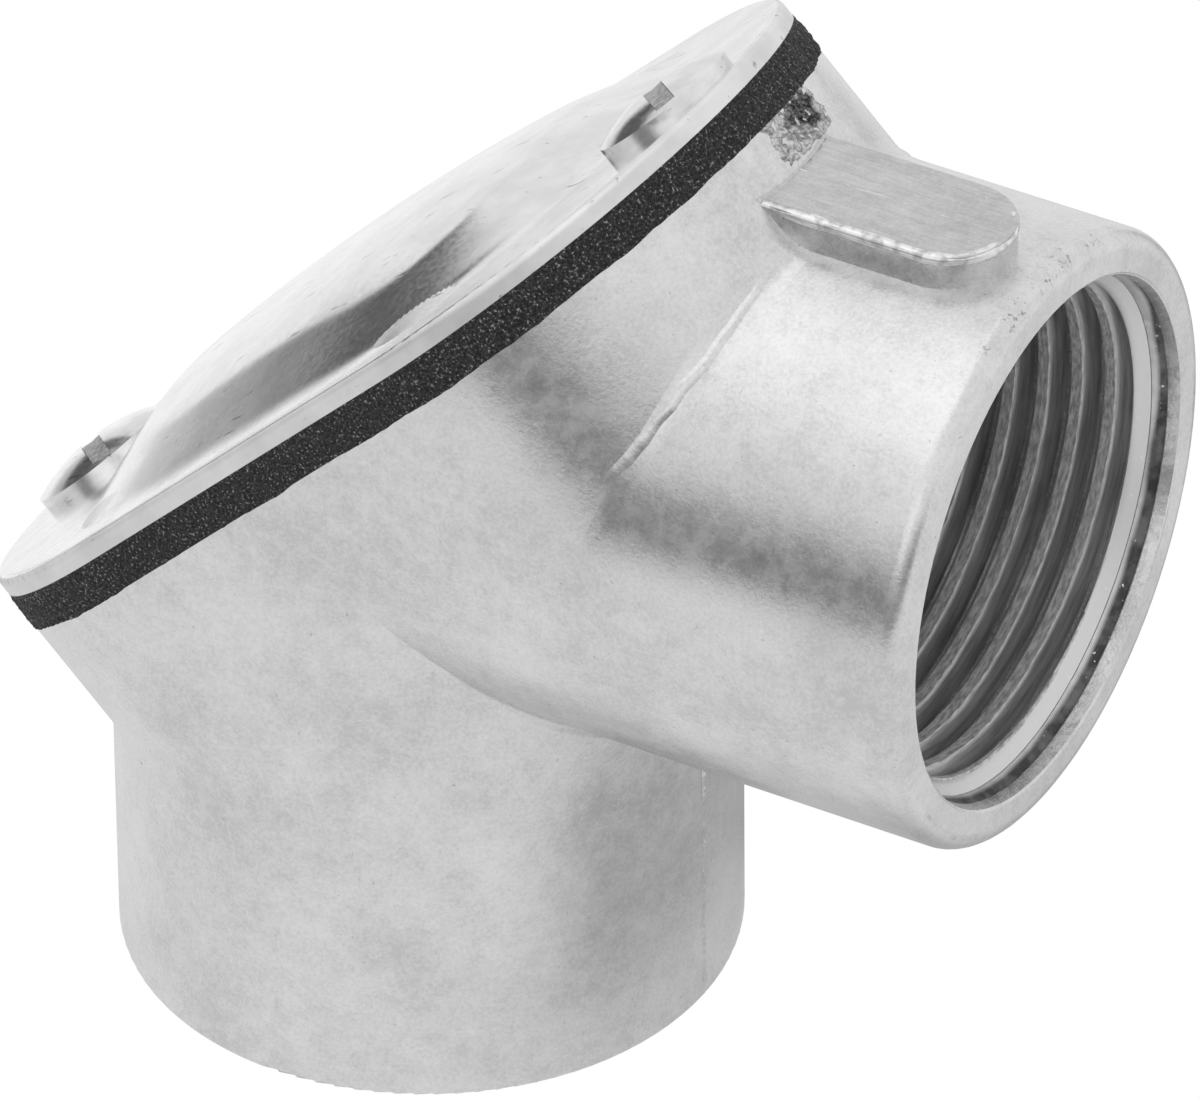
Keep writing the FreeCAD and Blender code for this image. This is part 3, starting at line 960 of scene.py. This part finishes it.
@dataclass(frozen=True)
class GasketEdge:
    """Cut edge of the foam gasket: torn cells, ragged below, tucked in under the cover."""

    material: bpy.types.Material
    step: float = 0.1
    inset: float = 0.25
    clear: float = 0.03
    proud: float = 0.05
    tuck: float = 0.10
    tear: float = 0.045
    sag: float = 0.04
    rows: int = 19

    def build(self) -> bpy.types.Object:
        """Make the edge as a section along the obround outline.

        Outline at arc length s: two straights of 2 c and two half circles of radius R. Section: an outer
        face from a torn lower edge up to the cover at R + proud - tuck u^6 + tear f(p), with u the height
        as a share of the gasket, closed inside at R - inset.

        Returns:
            The edge piece.
        """
        straight, arc = 2.0 * END_CENTRE, math.pi * HUB_RADIUS
        total = 2.0 * (straight + arc)
        count = int(total / self.step)
        s = np.arange(count)[:, None] * (total / count)
        half = np.mod(s, straight + arc)
        flip = np.where(s < straight + arc, 1.0, -1.0)
        turn = np.clip((half - straight) / HUB_RADIUS, 0.0, math.pi)
        centre = np.where(half < straight, half - END_CENTRE, END_CENTRE)
        normal_long, normal_across = np.sin(turn), -np.cos(turn)
        share = np.concatenate([[0.0], np.linspace(0.0, 1.0, self.rows), [1.0]])[None, :]
        foot = seat_to_part(flip * (centre + HUB_RADIUS * normal_long), flip * HUB_RADIUS * normal_across, 0.0 * s)
        lower = self.sag * (0.8 * waves(foot, 4.5, 7) + 0.3 * waves(foot, 0.9, 8) - 0.3)
        top = GASKET_THICKNESS - self.clear
        out = lower + (top - lower) * share
        skin = seat_to_part(
            flip * (centre + HUB_RADIUS * normal_long), flip * HUB_RADIUS * normal_across, out)
        torn = 0.6 * waves(skin, 0.9, 5) + 0.4 * waves(skin, 0.35, 6)
        radius = HUB_RADIUS + self.proud - self.tuck * share ** 6 + self.tear * np.maximum(torn, -0.9)
        radius[:, [0, -1]] = HUB_RADIUS - self.inset
        points = seat_to_part(flip * (centre + radius * normal_long), flip * radius * normal_across, out)
        return add_piece(
            "gasket_edge", points, Body.HOUSING, self.material, wrap_rows=True,
            sharp_degrees=TORN_DEGREES)


@dataclass(frozen=True)
class CastingMarks:
    """What casting and trimming leave on the body: parting flash, rubbed pad edges and the gate's scar."""

    finishes: Finishes
    flash_height: float = 0.11
    flash_step: float = 0.08
    pad_flash_height: float = 0.05
    ridge_turns: Span = (0.42, 1.26)
    ridge_depth: Point = (1.134, 1.428, -8.6)
    ridge_rise: float = 0.085
    ridge_width: float = 0.85
    ridge_breaks: float = 0.1
    ridge_fade: float = 90.0
    ridge_reach: float = 4.0
    ridge_points: int = 260
    edge_radius: float = 0.33
    edge_inset: float = 0.22
    edge_start: float = 20.6
    edge_share: float = 0.72
    scar_span: Span = (-1.0, 5.0)
    scar_centre: float = 2.0
    scar_half: float = 2.8
    scar_depth: float = 2.5
    scar_base: float = 0.08
    scar_lump: float = 0.08
    scar_sink: float = 0.15
    scar_embed: float = 0.4
    core_place: Span = (2.9, 0.3)
    core_size: Span = (1.3, 0.36)

    def bead(
        self, name: str, path: np.ndarray, beside: np.ndarray, out: np.ndarray, rise: float, seed: int,
        width: float = 0.34, breaks: float = 1.0, fade: float = 6.0,
    ) -> bpy.types.Object:
        """Make a thin bead along a path, broken or whole.

        Section: u from -1 to 1 across, height h (1 - u^2) f, with f a clipped random field along the path,
        closed below the surface.

        Args:
            name: name of the piece.
            path: points of the path, one row each.
            beside: unit direction across the bead at each point.
            out: unit direction out of the surface at each point.
            rise: height of the bead.
            seed: seed of the field.
            width: width of the bead.
            breaks: depth of the field's breaks, 1 for flash that comes and goes.
            fade: points over which each end runs out.

        Returns:
            The bead piece.
        """
        u = np.array([-1.0, -0.6, -0.25, 0.0, 0.25, 0.6, 1.0, 0.0])[None, :, None]
        level = np.array([-0.4, 0.35, 0.85, 1.0, 0.85, 0.35, -0.4, -1.0])[None, :, None]
        chips = 0.45 * waves(path, 1.6, seed) + 0.3 * waves(path, 0.5, seed + 1) - 0.45
        field = np.clip(1.0 + breaks * chips, 0.0, 1.3)
        taper = np.clip(np.minimum(np.arange(len(path)), np.arange(len(path))[::-1]) / fade, 0.0, 1.0)
        height = np.where(level > 0, level * (field * taper)[:, None, None] - 0.02, level) * rise
        wander = 0.05 * waves(path, 2.3, seed + 2)[:, None, None]
        points = path[:, None, :] + (u * 0.5 * width + wander) * beside[:, None, :] + height * out[:, None, :]
        return add_piece(name, points, Body.HOUSING, self.finishes.casting)

    def straight_flash(
        self, name: str, start: Sequence[float], end: Sequence[float], out: Sequence[float], rise: float, seed: int,
    ) -> bpy.types.Object:
        """Make parting flash on a straight line in the part's middle plane.

        Args:
            name: name of the piece.
            start: first point of the line.
            end: last point of the line.
            out: direction out of the surface.
            rise: height of the flash.
            seed: seed of its breaks.

        Returns:
            The flash piece.
        """
        length = float(np.linalg.norm(np.subtract(end, start)))
        path = np.linspace(start, end, int(length / self.flash_step))
        beside = np.broadcast_to([0.0, 1.0, 0.0], path.shape)
        return self.bead(name, path, beside, np.broadcast_to(out, path.shape), rise, seed)

    def lobe_ridge(self, name: str, side: int, seed: int, casting: BVHTree) -> bpy.types.Object:
        """Make the raised line where the upper lobe runs into the side hub.

        Path: turn t round the lobe and depth k(t) below the seat, a parabola, laid onto the casting along
        the mean of the lobe's normal and the hub's.

        Args:
            name: name of the piece.
            side: 1 on the side at -y, -1 on the other.
            seed: seed of its breaks.
            casting: surface of the body, in metres.

        Returns:
            The ridge piece.
        """
        turn = np.linspace(*self.ridge_turns, self.ridge_points)
        depth = np.polyval(self.ridge_depth, turn)
        start = seat_to_part(END_CENTRE + HUB_RADIUS * np.sin(turn), -side * HUB_RADIUS * np.cos(turn), depth)
        root = math.sqrt(0.5)
        lobe = np.stack([root * np.sin(turn), -side * np.cos(turn), root * np.sin(turn)], axis=-1)
        hub = (start - [0.0, 0.0, LEG_LENGTH]) * [0.0, 1.0, 1.0]
        out = lobe + hub / np.linalg.norm(hub, axis=1, keepdims=True)
        out /= np.linalg.norm(out, axis=1, keepdims=True)
        rays = zip((start + self.ridge_reach * out) * MM, -out)
        hits = [casting.ray_cast(Vector(place), Vector(way)) for place, way in rays]
        path = np.array([tuple(hit[0]) for hit in hits]) / MM
        beside = np.cross(out, np.gradient(path, axis=0))
        beside /= np.linalg.norm(beside, axis=1, keepdims=True)
        return self.bead(
            name, path, beside, out, self.ridge_rise, seed, self.ridge_width, self.ridge_breaks, self.ridge_fade)

    def pad_edge(self) -> bpy.types.Object:
        """Make the rubbed edge round the pad's top as a quarter-round bead along its outline.

        Outline at arc length s: the near side, then part of the half circle round the tip. Section: a
        circle of radius r f about a centre set in and down by the inset, f a random field that fades at the end.

        Returns:
            The edge piece.
        """
        near = PAD_TIP_CENTRE - self.edge_start
        tip = math.pi * PAD_HALF_WIDTH
        s = np.arange(0.0, near + self.edge_share * tip, self.flash_step)
        turn = np.clip((s - near) / PAD_HALF_WIDTH, 0.0, math.pi)
        x = PAD_TIP_CENTRE + np.minimum(s - near, 0.0)
        side = np.stack([np.sin(turn), -np.cos(turn), 0.0 * turn], axis=-1)
        edge = np.stack([x, 0.0 * x, np.full_like(x, PAD_EDGE_LEVEL)], axis=-1) + PAD_HALF_WIDTH * side
        up = np.array([0.0, 0.0, 1.0])
        centre = edge - self.edge_inset * (side + up)
        around = np.linspace(0.0, 2.0 * math.pi, 16, endpoint=False)[None, :]
        fade = np.clip((s[-1] - s) / 2.0, 0.0, 1.0)
        field = 0.92 + 0.08 * fade + 0.06 * waves(edge, 2.6, 41) + 0.015 * waves(edge, 0.5, 42)
        ring = np.cos(around)[..., None] * side[:, None, :] + np.sin(around)[..., None] * up
        points = centre[:, None, :] + (self.edge_radius * field)[:, None, None] * ring
        return add_piece("pad_edge", points, Body.HOUSING, self.finishes.rubbed)

    def gate_scar(self) -> bpy.types.Object:
        """Make the broken gate as a lumpy patch on the upper lobe's wall, under the gasket.

        Patch over angle t round the lobe and depth k below the seat: r = R + (base + lump f) m - sink (1 - m),
        with m falling to 0 at the patch's border, closed inside the wall.

        Returns:
            The scar piece.
        """
        across = np.linspace(*self.scar_span, 96)[:, None]
        share = np.concatenate([[0.0], np.linspace(0.0, 1.0, 46), [1.0]])[None, :]
        out = -0.02 - self.scar_depth * share
        turn = across / HUB_RADIUS
        skin = seat_to_part(END_CENTRE + HUB_RADIUS * np.cos(turn), HUB_RADIUS * np.sin(turn), out)
        lumps = 0.7 * waves(skin, 0.6, 51) + 0.4 * waves(skin, 0.28, 52)
        u = (across - self.scar_centre) / self.scar_half
        border = 1.0 - np.maximum(np.abs(u) ** 3, 1.1 * share ** 4) + 0.10 * waves(skin, 1.3, 53)
        mask = np.clip(border / 0.3, 0.0, 1.0)
        radius = HUB_RADIUS + (self.scar_base + self.scar_lump * lumps) * mask - self.scar_sink * (1.0 - mask)
        radius[:, [0, -1]] = HUB_RADIUS - self.scar_embed
        radius[[0, -1], :] = HUB_RADIUS - self.scar_embed
        points = seat_to_part(END_CENTRE + radius * np.cos(turn), radius * np.sin(turn), out)
        off_core = np.hypot(
            (across - self.core_place[0]) / self.core_size[0], (share - self.core_place[1]) / self.core_size[1])
        core = 1.6 - off_core + 0.25 * waves(skin, 0.8, 54)
        return add_piece(
            "gate_scar", points, Body.HOUSING, self.finishes.broken, sharp_degrees=TORN_DEGREES,
            marks={"darkening": np.clip(core, 0.0, 1.0)})

    def build(self) -> None:
        """Make every mark."""
        belly, back, tall = LEG_LENGTH - HUB_RADIUS, -HUB_RADIUS, self.flash_height
        ridge = PAD_RIDGE_LEVEL - 0.04
        for line in (
            ("flash_lower_hub", (HUB_RADIUS, 0, 0.5), (HUB_RADIUS, 0, belly - 1.2), (1, 0, 0), tall, 61),
            ("flash_side_hub", (HUB_RADIUS + 1.2, 0, belly), (33.0, 0, belly), (0, 0, -1), tall, 64),
            ("flash_back", (back, 0, 0.5), (back, 0, 10.0), (-1, 0, 0), tall, 67),
            ("flash_pad", (19.2, 0, ridge), (31.8, 0, ridge), (0, 0, 1), self.pad_flash_height, 70),
        ):
            self.straight_flash(*line)
        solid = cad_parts["body"].data
        places = np.empty(3 * len(solid.vertices))
        solid.vertices.foreach_get("co", places)
        casting = BVHTree.FromPolygons(
            places.reshape(-1, 3).tolist(), [tuple(face.vertices) for face in solid.polygons])
        self.lobe_ridge("lobe_ridge_near", 1, 73, casting)
        self.lobe_ridge("lobe_ridge_far", -1, 76, casting)
        self.pad_edge()
        self.gate_scar()


@dataclass(frozen=True)
class StudioCamera:
    """Camera fitted to the outlines of the two hubs."""

    azimuth: float = 1.0501
    elevation: float = 0.637
    roll: float = -0.0101
    distance: float = 839.09
    scale: float = 20.1762
    shift: Span = (-8.3267, -17.5487)
    image_width: float = 1200.0
    sensor: float = 36.0

    def build(self) -> bpy.types.Object:
        """Make the camera and set it on the scene.

        Returns:
            The camera object.
        """
        level = Vector((math.cos(self.azimuth), -math.sin(self.azimuth), 0.0))
        right = Vector((math.sin(self.azimuth), math.cos(self.azimuth), 0.0))
        back = level * math.cos(self.elevation) + Vector((0.0, 0.0, math.sin(self.elevation)))
        up = back.cross(right)
        cosine, sine = math.cos(self.roll), math.sin(self.roll)
        right, up = right * cosine + up * sine, up * cosine - right * sine
        place = (back * self.distance - right * self.shift[0] - up * self.shift[1]) * MM
        data = bpy.data.cameras.new("camera")
        data.sensor_fit = "HORIZONTAL"
        data.sensor_width = self.sensor
        data.lens = self.sensor * self.scale * self.distance / self.image_width
        data.clip_start = 0.01
        data.clip_end = 20.0
        camera = bpy.data.objects.new("camera", data)
        camera.matrix_world = Matrix((
            (right.x, up.x, back.x, place.x), (right.y, up.y, back.y, place.y),
            (right.z, up.z, back.z, place.z), (0.0, 0.0, 0.0, 1.0),
        ))
        bpy.context.scene.collection.objects.link(camera)
        bpy.context.scene.camera = camera
        return camera


@dataclass(frozen=True)
class SoftLight:
    """One soft box, aimed at the part, with its place and size in metres."""

    name: str
    place: Point
    size: float
    brightness: float
    aim: Point = (0.0, 0.0, 0.03)

    def build(self) -> bpy.types.Object:
        """Make the light. Its power is brightness times pi times its area.

        Returns:
            The light object.
        """
        data = bpy.data.lights.new(self.name, "AREA")
        data.shape = "SQUARE"
        data.size = self.size
        data.energy = self.brightness * math.pi * self.size ** 2
        light = bpy.data.objects.new(self.name, data)
        light.location = self.place
        way = Vector(self.aim) - light.location
        light.rotation_euler = way.to_track_quat("-Z", "Y").to_euler()
        bpy.context.scene.collection.objects.link(light)
        return light


@dataclass(frozen=True)
class FloorPaper:
    """Pale studio paper: white to the camera, dull under the lamps, and a lit table top in the metal's reflections.

    Those reflections darken where the table ends in front, and carry a painted shadow of the part close behind it and
    at its right, and painted shade in a patch further off, behind and to the left.
    """

    name: str = "floor_paper"
    white: str = "#ffffff"
    paper: str = "#e4e4e4"
    front: str = "#ececec"
    table_edge: str = "#8c8c8c"
    edge_span: Span = (-222.0, -248.0)
    # Dark middle: painted shadow of the part on the paper close behind it, as the metal mirrors it
    shadow_strip: Stops = ((0.08, "#ffffff"), (0.18, "#747474"), (0.44, "#747474"), (0.52, "#b0b0b0"), (0.90, "#e8e8e8"))
    shadow_strip_span: Span = (-40.0, 60.0)
    behind_span: Span = (4.0, 14.0)
    far: str = "#f4f4f4"
    far_span: Span = (70.0, 95.0)
    # Painted shade on the paper further off, behind and to the left, as the metal mirrors it
    patch: str = "#cccccc"
    patch_way: Point = (0.588, 0.809, 0.0)
    patch_span: Span = (0.0, -20.0)
    patch_left: Span = (-70.0, -110.0)
    # Painted shadow of the part on the paper at its right, as the metal mirrors it
    shade: str = "#bcbcbc"
    shade_left: Span = (8.0, 24.0)
    shade_right: Span = (50.0, 36.0)
    shade_front: Span = (-20.0, -6.0)

    def build(self) -> bpy.types.Material:
        """Make the material.

        Returns:
            The finished material.
        """
        material, tree, at = start_material(self.name)
        seen, mirrored = (add_node(tree, Node.LIGHT_PATH, out=ray) for ray in ("Is Camera Ray", "Is Glossy Ray"))
        along, aside = (add_node(tree, Node.SEPARATE, {"Vector": at}, out=axis) for axis in "XY")
        turned = add_node(
            tree, Node.VECTOR_MATH, {0: at, 1: self.patch_way}, {"operation": "DOT_PRODUCT"}, out="Value")
        behind, edge, far, patch, shade, run = (within(tree, 1.0, limits) for limits in (
            [(aside, *self.behind_span)], [(aside, *self.edge_span)], [(aside, *self.far_span)],
            [(turned, *self.patch_span), (along, *self.patch_left)],
            [(along, *self.shade_left), (along, *self.shade_right), (aside, *self.shade_front)],
            [(along, *self.shadow_strip_span)]))
        # Behind the part: painted shadow close to it and painted shade further off to the left
        back = add_node(tree, Node.RAMP, {"Fac": run}, stops=self.shadow_strip)
        for share, tone in ((far, self.far), (patch, self.patch)):
            back = add_node(tree, Node.MIX, {0: share, 6: back, 7: linear(tone)}, COLOURS, out=2)
        front = add_node(
            tree, Node.MIX, {0: edge, 6: linear(self.front), 7: linear(self.table_edge)}, COLOURS, out=2)
        shown = add_node(tree, Node.MIX, {0: behind, 6: front, 7: back}, COLOURS, out=2)
        # Painted shadow at the part's right, then plain white to the camera
        for share, tone in ((shade, self.shade), (seen, self.white)):
            shown = add_node(tree, Node.MIX, {0: share, 6: shown, 7: linear(tone)}, COLOURS, out=2)
        plain = add_node(tree, Node.MATH, {0: seen, 1: mirrored}, GREATER)
        paper = add_node(tree, Node.DIFFUSE, {"Color": linear(self.paper)})
        light = add_node(tree, Node.EMISSION, {"Color": shown, "Strength": 1.0})
        mixed = add_node(tree, Node.MIX_SHADER, {0: plain, 1: paper, 2: light})
        add_node(tree, Node.OUTPUT_MATERIAL, {"Surface": mixed})
        return material


@dataclass(frozen=True)
class GreyCard:
    """Matt grey card, which the flank of the dome mirrors."""

    name: str = "grey_card"
    tone: str = "#787878"
    rough: float = 0.9

    def build(self) -> bpy.types.Material:
        """Make the material.

        Returns:
            The finished material.
        """
        material, tree, _ = start_material(self.name)
        end_material(tree, {"Base Color": linear(self.tone), "Roughness": self.rough})
        return material


@dataclass(frozen=True)
class Studio:
    """White studio: pale floor, white surround, soft boxes and a grey card behind the cover, in metres."""

    floor_size: float = 6.0
    floor_drop: float = 0.0003
    surround: float = 0.88
    room: float = 0.25
    room_front: Span = (-0.1, -0.5)
    room_low: Span = (0.38, 0.1)
    fill: float = 0.55
    card_distance: float = 0.25
    card_from: float = 13.0
    card_to: float = 35.0
    card_height: float = 0.09
    lamps: Tuple[SoftLight, ...] = (
        SoftLight("overhead_box", (-0.15, -0.1, 0.6), 0.5, 0.3), SoftLight("front_box", (0.1, -0.6, 0.35), 0.4, 0.2))

    def plate(self, name: str, corners: Sequence[Point], material: bpy.types.Material) -> bpy.types.Object:
        """Make a flat stage piece.

        Args:
            name: name of the piece.
            corners: its corners, in metres.
            material: its finish.

        Returns:
            The stage object.
        """
        mesh = bpy.data.meshes.new(name)
        mesh.from_pydata(list(corners), [], [tuple(range(len(corners)))])
        mesh.materials.append(material)
        plate = bpy.data.objects.new(name, mesh)
        bpy.context.scene.collection.objects.link(plate)
        return plate

    def world(self) -> None:
        """Make the white surround, plain white to the camera and dim in front, where the room is."""
        world = bpy.data.worlds.new("white_surround")
        world.use_nodes = True
        tree = world.node_tree
        tree.nodes.clear()
        seen, through, mirrored = (add_node(tree, Node.LIGHT_PATH, out=ray) for ray in (
            "Is Camera Ray", "Is Transmission Ray", "Is Glossy Ray"))
        seen = add_node(tree, Node.MATH, {0: seen, 1: through}, {"operation": "ADD"})
        way = add_node(tree, Node.TEXTURE_PLACE, out="Generated")
        front, up = (add_node(tree, Node.SEPARATE, {"Vector": way}, out=axis) for axis in "YZ")
        room = within(tree, 1.0, [(front, *self.room_front), (up, *self.room_low)])
        room = add_node(tree, Node.MAP_RANGE, {"Value": room, "To Min": self.surround, "To Max": self.room})
        level = add_node(tree, Node.MAP_RANGE, {"Value": mirrored, "To Min": self.fill, "To Max": room})
        strength = add_node(tree, Node.MATH, {0: seen, 1: level}, GREATER)
        back = add_node(tree, Node.BACKGROUND, {"Color": linear("#ffffff"), "Strength": strength})
        add_node(tree, Node.OUTPUT_WORLD, {"Surface": back})
        bpy.context.scene.world = world

    def build(self) -> None:
        """Make the stage, the lights and the surround."""
        half, low = self.floor_size / 2.0, -self.floor_drop
        self.plate(
            "floor", [(-half, -half, low), (half, -half, low), (half, half, low), (-half, half, low)],
            FloorPaper().build())
        first, second = math.radians(self.card_from), math.radians(self.card_to)
        start = (-self.card_distance * math.cos(first), self.card_distance * math.sin(first))
        end = (-self.card_distance * math.cos(second), self.card_distance * math.sin(second))
        card = self.plate(
            "dark_card",
            [(*start, 0.0), (*end, 0.0), (*end, self.card_height), (*start, self.card_height)],
            GreyCard().build())
        card.visible_camera = False
        for lamp in self.lamps:
            lamp.build()
        self.world()
        bpy.context.scene.view_settings.view_transform = "Standard"


def main() -> None:
    """Build the scene."""
    logging.basicConfig(level=logging.INFO, format="%(name)s %(message)s")
    finishes = Finishes.make()
    finishes.dress()
    for hub in Hub:
        HubMouth(hub, finishes).build()
    screws = ((Body.SCREW_UPPER, 1), (Body.SCREW_LOWER, -1))
    for body, side in screws:
        ScrewThread(body, side, finishes.screw).build()
    for body, side in screws:
        SlotFill(body, side, finishes.grime).build()
    CoverSkin(finishes.sheet).build()
    GasketEdge(finishes.foam).build()
    CastingMarks(finishes).build()
    Studio().build()
    StudioCamera().build()


if __name__ == "__main__":
    main()
